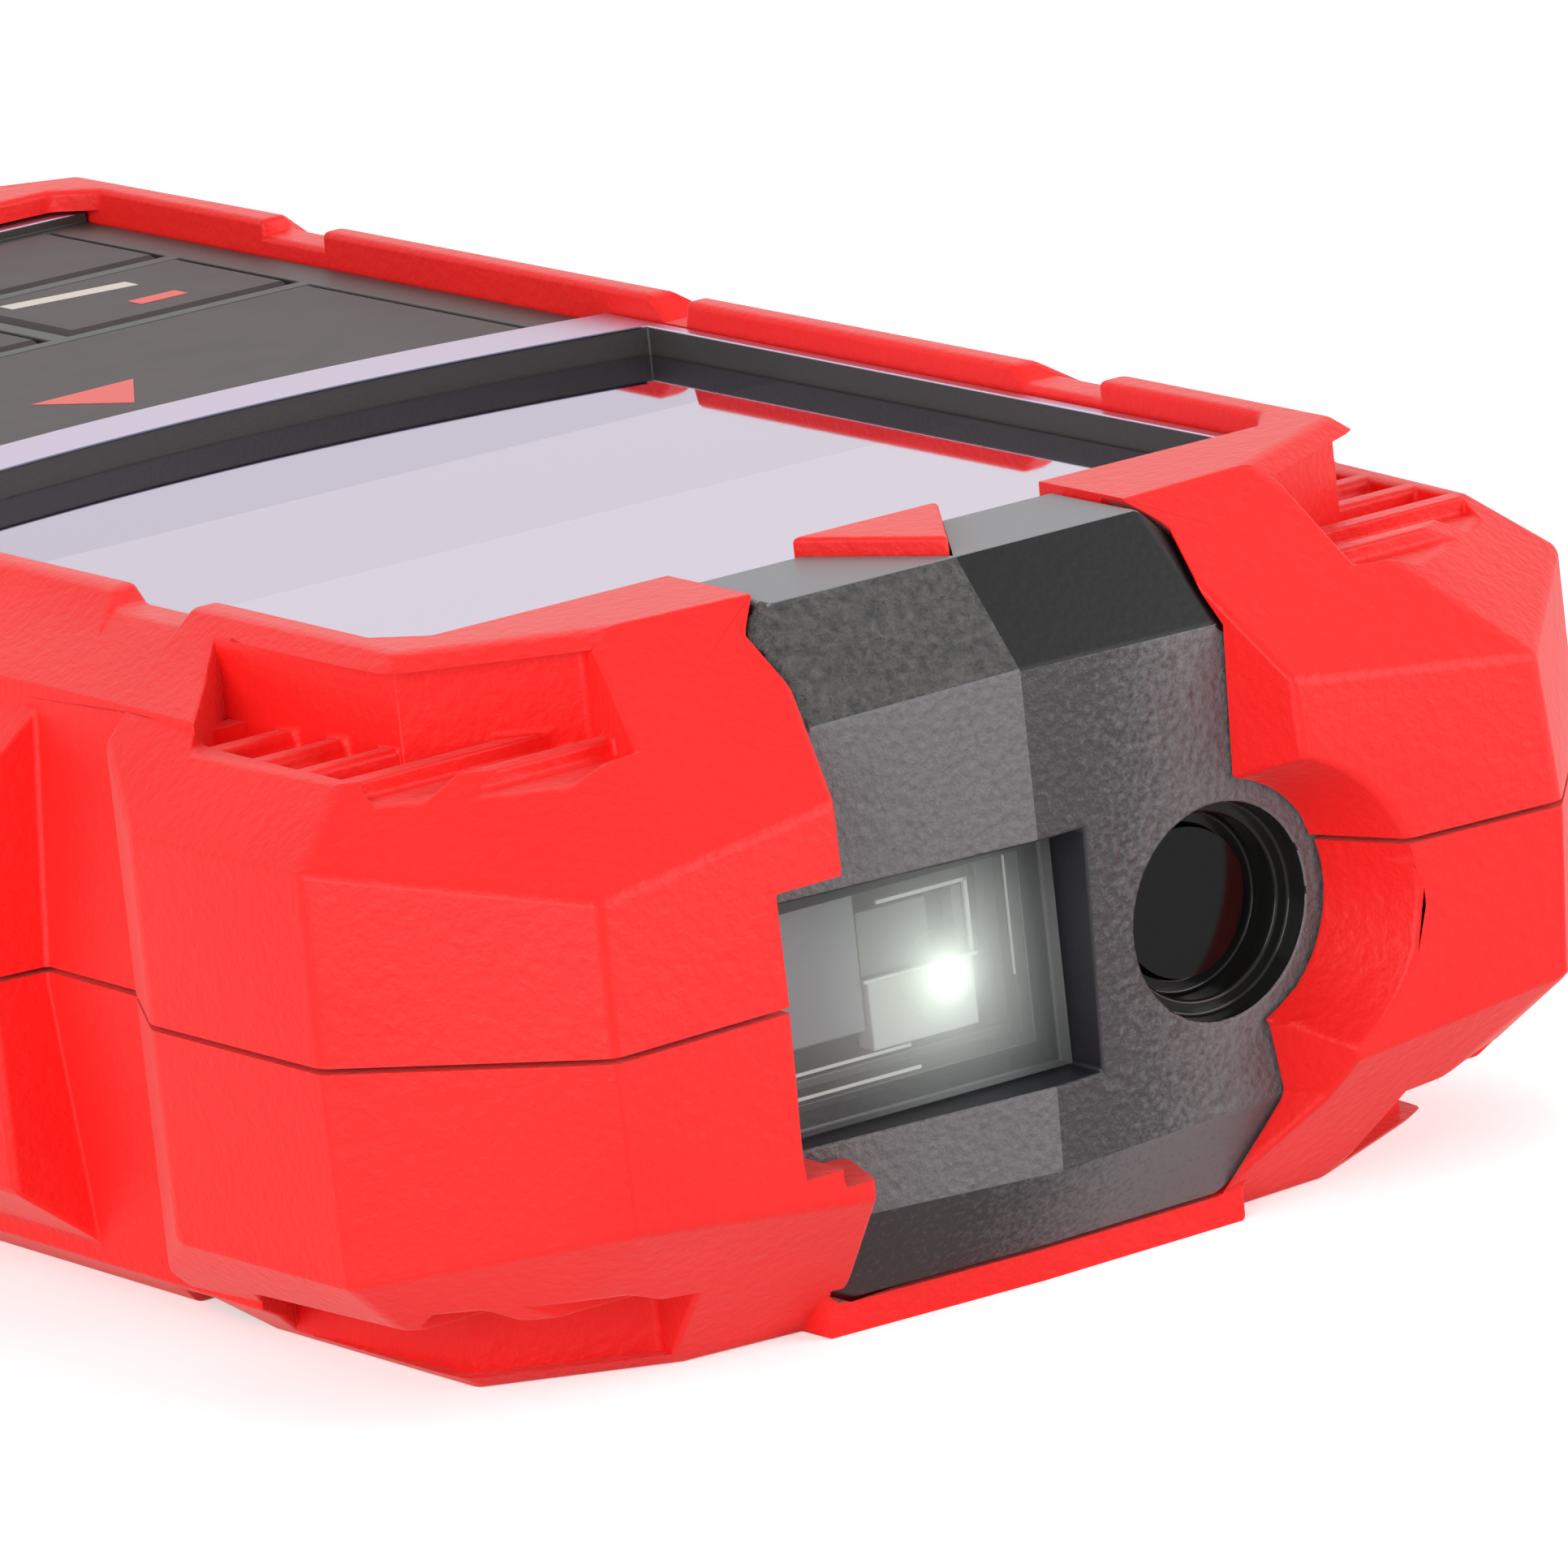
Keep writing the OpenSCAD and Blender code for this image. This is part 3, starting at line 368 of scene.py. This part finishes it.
def merged(name, weld):
    """A CAD solid in millimetres, its triangles joined to whole faces and large ones cut."""
    bm = bmesh.new()
    bm.from_mesh(nodes[name].data)
    bmesh.ops.scale(bm, vec=(1 / MM, 1 / MM, 1 / MM), verts=bm.verts)
    bmesh.ops.remove_doubles(bm, verts=bm.verts, dist=weld)
    bmesh.ops.dissolve_degenerate(bm, dist=0.02, edges=bm.edges)
    bmesh.ops.dissolve_limit(
        bm,
        angle_limit=math.radians(COPLANAR),
        verts=bm.verts,
        edges=bm.edges,
        use_dissolve_boundaries=False,
    )
    for axis, at in CUTS:
        across = Vector([float(i == axis) for i in range(3)])
        bmesh.ops.bisect_plane(
            bm,
            geom=[*bm.verts, *bm.edges, *bm.faces],
            dist=0.001,
            plane_co=across * at,
            plane_no=across,
        )
    return bm


def reach_across(face, vertex):
    """How far a face's corner is from the nearest of the face's edges that don't meet it."""
    spans = []
    for edge in face.edges:
        if vertex in edge.verts:
            continue
        start, end = (v.co for v in edge.verts)
        way = end - start
        share = min(1, max(0, (vertex.co - start).dot(way) / way.length_squared))
        spans.append((start + way * share - vertex.co).length)
    return min(spans, default=math.inf)


def room_beside(edge):
    """The length of the smallest form beside an edge: an edge that meets it or a thin face."""
    near = [e for v in edge.verts for e in v.link_edges if e.calc_face_angle(0) > FLAT]
    thin = [reach_across(f, v) for f in edge.link_faces for v in edge.verts]
    return min([e.calc_length() for e in near] + thin)


def settled(mesh, name):
    """Puts a rounded copy's stray corners back on the CAD surface, welds its spikes away and
    marks what is still an edge as sharp."""
    solid = nodes[name].data
    corners = [v.co for v in solid.vertices]
    skin = BVHTree.FromPolygons(corners, [p.vertices for p in solid.polygons])
    for vertex in mesh.vertices:
        spot, _, _, off = skin.find_nearest(vertex.co)
        if off > STRAY * MM:
            vertex.co = spot
    bm = bmesh.new()
    bm.from_mesh(mesh)
    spikes = {}
    for corner in (c for f in bm.faces for c in f.loops if len(f.verts) > 4):
        before, at, after = corner.link_loop_prev.vert, corner.vert, corner.link_loop_next.vert
        if (before.co - at.co).angle(after.co - at.co, math.pi) < math.radians(SPIKE):
            nearer = min(before, after, key=lambda v: (v.co - at.co).length)
            free = at not in spikes.values() and nearer not in spikes
            if free and (nearer.co - at.co).length < SPIKE_L * MM:
                spikes[at] = nearer
    bmesh.ops.weld_verts(bm, targetmap=spikes)
    for edge in bm.edges:
        if edge.calc_face_angle(math.pi) > math.radians(SHARP):
            edge.smooth = False
    bm.to_mesh(mesh)
    bm.free()


def softened(name, width, least_angle, finishes, choose=None, hidden=None, weld=0.08):
    """A copy of a CAD solid with its edges rounded, standing in for the sharp one.

    An edge over the least angle is rounded by the full width, or by as much as there is room
    for, so that small facets keep their form. It stays sharp where that is next to nothing, or
    where one of its faces is hidden. The choice gives each face its finish."""
    bm = merged(name, weld)
    unseen = [f for f in bm.faces if hidden and hidden(f.normal, f.verts)]
    split = bmesh.ops.triangulate(bm, faces=[f for f in unseen if len(f.verts) > 4])["faces"]
    unseen = {f for f in unseen if f.is_valid} | set(split)
    weight = bm.edges.layers.float.new("bevel_weight_edge")
    for edge in bm.edges:
        if not edge.is_manifold or edge.calc_face_angle() < math.radians(least_angle):
            continue
        share = min(1, ROOM_SHARE * room_beside(edge) / width)
        rounded = share > LEAST_SHARE and not unseen & set(edge.link_faces)
        edge[weight] = share if rounded else 0
        edge.smooth = rounded
    for face in bm.faces:
        finish = choose(face.normal, face.calc_center_median()) if choose else finishes[0]
        face.material_index = finishes.index(finish)
    made = piece(name + "_shape", bm, finishes, "case", smooth=True)
    rounding = made.modifiers.new("rounded_edges", "BEVEL")
    rounding.limit_method = "WEIGHT"
    rounding.width = width * MM
    rounding.segments = 3
    rounding.use_clamp_overlap = False
    drawn = made.evaluated_get(bpy.context.evaluated_depsgraph_get())
    made.data = bpy.data.meshes.new_from_object(drawn)
    made.modifiers.clear()
    settled(made.data, name)
    even = made.modifiers.new("even_faces", "WEIGHTED_NORMAL")
    even.weight = 100
    even.keep_sharp = True
    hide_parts(name)


def against_case(corners):
    """Whether all of a face's corners are inside the outline of the hard case."""
    return all(abs(v.co.x) < 27.3 and abs(v.co.y) < 56.3 for v in corners)


def hidden_in_upper(normal, corners):
    """The upper armour's parting plane, and what lies against the case below the rim."""
    below_rim = max(v.co.z for v in corners) < 30.5
    return normal.z < -0.99 or (against_case(corners) and below_rim)


def hidden_in_lower(normal, corners):
    """The lower armour's parting plane, and what lies against the case above the underside."""
    above_floor = min(v.co.z for v in corners) > 1.9
    return normal.z > 0.99 or (against_case(corners) and above_floor)


def hidden_in_nose(normal, corners):
    """The nose's faces that look back into the case."""
    return normal.y > 0.3


def hidden_in_shell(normal, corners):
    """The upper shell's faces that are wholly below the display."""
    return max(v.co.z for v in corners) < 29


def nose_finish(normal, at):
    """A face's finish: by the opening that it lines, or by the way that it slants, which picks its
    painted shade.
    """
    from_axis = math.hypot(at.x - LASER_X, at.z - OPTIC_Z)
    if from_axis < 4.9 and (abs(normal.y) < 0.5 or at.y > -59.5):
        return bore_black
    in_window = -15.2 < at.x < 2.6 and 8.7 < at.z < 19.7
    if in_window and (abs(normal.y) < 0.1 or -60 < at.y < -57):
        return trap_black
    if normal.z > 0.9:
        return nose_top
    if normal.z > 0.3:
        return nose_left if at.x < 0 else nose_right
    if normal.z < -0.2:
        return nose_low
    return nose_front if at.x < 0 else nose_side


def shell_finish(normal, at):
    """Film on the deck round the display, grained walls in the recess, plain case elsewhere."""
    if normal.z > 0.99 and at.z > DECK_Z - 0.05:
        return deck_film
    if abs(normal.z) < 0.5 and at.z > GLASS_TOP - 1.5 and abs(at.x) < 22.2:
        return recess
    return case


NOSE = (nose_front, nose_left, nose_right, nose_top, trap_black, bore_black, nose_low, nose_side)
SHELL = (case, deck_film, recess)
softened("upper_armour", 0.35, 12, [armour], hidden=hidden_in_upper)
softened("lower_armour", 0.35, 12, [armour], hidden=hidden_in_lower)
softened("nose_cover", 0.2, 14, NOSE, nose_finish, hidden_in_nose)
softened("aim_mark", 0.25, 20, [armour])
softened("upper_shell", 0.1, 30, SHELL, shell_finish, hidden_in_shell, weld=0.02)

# ---- Receiver: what stands behind the window, and its pane ----

# Pieces made of blocks, each given by two corners in millimetres and the cut of its edges
RECEIVER = (
    # The light trap: a wall at the back, and ledges that step towards the pane
    ("receiver_trap", trap_black, "chassis", (
        ((WINDOW_LEFT, TRAP_REAR, WINDOW_LOW), (WINDOW_RIGHT, TRAP_REAR + 0.1, WINDOW_HIGH), 0.0),
        ((-0.3, -56.6, 9.2), (0.7, TRAP_REAR, 19.2), 0.1),
        ((0.95, -57.0, 9.2), (1.9, TRAP_REAR, 19.2), 0.1),
        ((WINDOW_LEFT, -56.9, 10.5), (0.6, TRAP_REAR, 11.0), 0.1),
        ((WINDOW_LEFT, -57.3, WINDOW_LOW), (WINDOW_RIGHT, TRAP_REAR, 9.5), 0.1),
    )),
    # The mirror block at the left
    ("receiver_block", block_pale, "optic_glass", (
        ((-13.6, -57.0, 12.3), (-6.75, TRAP_REAR, 18.9), 0.08),
    )),
    # Two upright panels beside it
    ("receiver_frame", block_mid, "chassis", (
        ((-6.6, -56.8, 14.5), (-3.0, TRAP_REAR, 17.3), 0.06),
        ((-1.7, -56.8, 14.5), (-1.15, TRAP_REAR, 17.4), 0.06),
    )),
    # The bright reflector under the panels
    ("receiver_reflector", block_bright, "optic_glass", (
        ((-6.6, -57.2, 11.4), (-1.2, TRAP_REAR, 14.35), 0.08),
    )),
    # Painted glints: pale bars along these edges
    ("receiver_glints", painted_glint, "optic_glass", (
        ((-6.8, -57.3, 14.35), (-1.0, -57.1, 14.5), 0.03),
        ((-5.6, -57.0, 17.5), (-1.0, -56.8, 17.68), 0.03),
        ((-1.15, -57.0, 14.5), (-0.95, -56.8, 17.68), 0.03),
        ((-13.6, -57.0, 11.15), (-4.6, -56.9, 11.3), 0.02),
        ((-13.6, -57.3, 10.2), (-4.4, -57.2, 10.35), 0.02),
        ((0.86, -57.1, 13.0), (0.95, -57.0, 18.8), 0.02),
    )),
)
for name, finish, slot, blocks in RECEIVER:
    bm = bmesh.new()
    for low, high, cut in blocks:
        bar(bm, low, high, cut)
    piece(name, bm, [finish], "case")

bm = bmesh.new()
bar(bm, (WINDOW_LEFT, PANE_FRONT, WINDOW_LOW), (WINDOW_RIGHT, PANE_REAR, WINDOW_HIGH), 0.05)
window = piece("receiver_pane", bm, [pane], "case")
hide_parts("receiver_window")

# ---- The film's dark edge, and the marks on the keys ----

# A thin band on the deck behind the display, bent round the bow's centre
BAND_IN, BAND_OUT = BOW_R + 0.02, BOW_R + 0.3
BAND_LOW, BAND_TOP = DECK_Z + 0.005, DECK_Z + 0.025
BAND_ANGLE, BAND_STEPS = math.asin(21.6 / BOW_R), 40
bm = bmesh.new()
outline = ((BAND_IN, BAND_LOW), (BAND_OUT, BAND_LOW), (BAND_OUT, BAND_TOP), (BAND_IN, BAND_TOP))
section = bm.faces.new([bm.verts.new((0, BOW_Y + r, z)) for r, z in outline])
start = Matrix.Rotation(-BAND_ANGLE, 3, "Z")
bmesh.ops.rotate(bm, cent=(0, BOW_Y, 0), matrix=start, verts=bm.verts)
bmesh.ops.spin(
    bm,
    geom=[section, *section.edges, *section.verts],
    cent=(0, BOW_Y, 0),
    axis=(0, 0, 1),
    angle=2 * BAND_ANGLE,
    steps=BAND_STEPS,
    use_merge=False,
)
bmesh.ops.recalc_face_normals(bm, faces=bm.faces)
piece("film_edge", bm, [line_blue], "case")

# Flat ink shapes just over the keys, by their corners across and along, in millimetres
INK_LOW, INK_T = KEY_TOP + 0.005, 0.02
MARKS = (
    ("measure_legend", "measure_key", ink_red, ((3.6, 13.9), (-2.1, 13.6), (0.8, 9.3))),
    ("camera_legend", "camera_key", ink_white, ((9, 34.6), (9, 33.4), (15.4, 32.4), (15.4, 33.6))),
    ("camera_mark", "camera_key", ink_red, ((13, 28.3), (15.6, 28.3), (15.6, 29.5), (13, 29.5))),
)
for name, body, finish, outline in MARKS:
    bm = bmesh.new()
    face = bm.faces.new([bm.verts.new((x, y, INK_LOW)) for x, y in outline])
    raised = bmesh.ops.extrude_face_region(bm, geom=[face])["geom"]
    lifted = [v for v in raised if isinstance(v, bmesh.types.BMVert)]
    bmesh.ops.translate(bm, vec=(0, 0, INK_T), verts=lifted)
    bmesh.ops.recalc_face_normals(bm, faces=bm.faces)
    piece(name, bm, [finish], body)

# ---- Camera ----

# The fitted view: turn, height and lean in degrees, and the shift and distance in millimetres
TURN, RISE, LEAN = math.radians(-32.92), math.radians(13.36), math.radians(-6.27)
SHIFT_X, SHIFT_Y, DISTANCE = 3.68, 10.59, 622.5
AIM = Vector((0, -51.2, 31.6))
SENSOR, FOCAL_PX, FRAME_PX = 36, 18274, 1932

back = Vector((math.sin(TURN) * math.cos(RISE), -math.cos(TURN) * math.cos(RISE), math.sin(RISE)))
level = Vector((math.cos(TURN), math.sin(TURN), 0))
upright = back.cross(level)
right = level * math.cos(LEAN) + upright * math.sin(LEAN)
top = -level * math.sin(LEAN) + upright * math.cos(LEAN)

camera = bpy.data.objects.new("camera", bpy.data.cameras.new("camera"))
scene.collection.objects.link(camera)
camera.data.sensor_width = SENSOR
camera.data.lens = SENSOR * FOCAL_PX / FRAME_PX
camera.data.clip_start, camera.data.clip_end = 0.01, 20
place = AIM - right * SHIFT_X - top * SHIFT_Y + back * DISTANCE
axes = Matrix((right, top, back)).transposed().to_4x4()
camera.matrix_world = Matrix.Translation(place * MM) @ axes
scene.camera = camera

# ---- Light and floor ----

# Square studio lights: place, the height that each aims at, and side, in metres, and watts
LIGHTS = (
    ("key_light", (-0.93, -0.50, 0.36), 0.01, 0.9, 10),
    ("fill_light", (0.80, -0.80, 0.36), 0.01, 0.8, 7.5),
    ("back_light", (0.42, 0.70, 1.05), 0.02, 1.0, 4),
)
for name, where, aim_z, size, power in LIGHTS:
    lamp = bpy.data.lights.new(name, "AREA")
    lamp.size = size
    lamp.energy = power
    made = bpy.data.objects.new(name, lamp)
    scene.collection.objects.link(made)
    made.location = where
    made.rotation_mode = "QUATERNION"
    made.rotation_quaternion = (Vector((0, 0, aim_z)) - Vector(where)).to_track_quat("-Z", "Y")

# The world lights the object at a plain level, and shows as white straight, in gloss or in glass
WORLD_LIGHT = 0.42
world = bpy.data.worlds.new("studio")
world.use_nodes = True
scene.world = world
air = world.node_tree
rays = add(air, "LightPath").outputs
seen = rays["Is Camera Ray"]
for kind in ("Is Glossy Ray", "Is Transmission Ray"):
    seen = add(air, "Math", {"operation": "MAXIMUM"}, {0: seen, 1: rays[kind]}).outputs["Value"]
strength = add(air, "MapRange", links={"Value": seen, "To Min": WORLD_LIGHT, "To Max": 1.0})
backdrop = air.nodes["Background"]
backdrop.inputs["Color"].default_value = (1, 1, 1, 1)
air.links.new(strength.outputs["Result"], backdrop.inputs["Strength"])

# The floor is matt and nearly white, and is lifted to white for camera rays alone
FLOOR_SIZE, FLOOR_LIFT = 6, 0.5
bm = bmesh.new()
bmesh.ops.create_grid(bm, x_segments=1, y_segments=1, size=FLOOR_SIZE)
floor_mesh = bpy.data.meshes.new("floor")
bm.to_mesh(floor_mesh)
bm.free()
floor = bpy.data.objects.new("floor", floor_mesh)
scene.collection.objects.link(floor)
floor_paint, tree, shader, where = material("pale_floor", "#fbfbfb", 0.9, gloss=0.0)
straight = add(tree, "LightPath").outputs["Is Camera Ray"]
lift = add(tree, "MapRange", links={"Value": straight, "To Min": 0.0, "To Max": FLOOR_LIFT})
tree.links.new(lift.outputs["Result"], shader.inputs["Emission Strength"])
shader.inputs["Emission Color"].default_value = (1, 1, 1, 1)
floor_mesh.materials.append(floor_paint)

scene.view_settings.view_transform = "Standard"
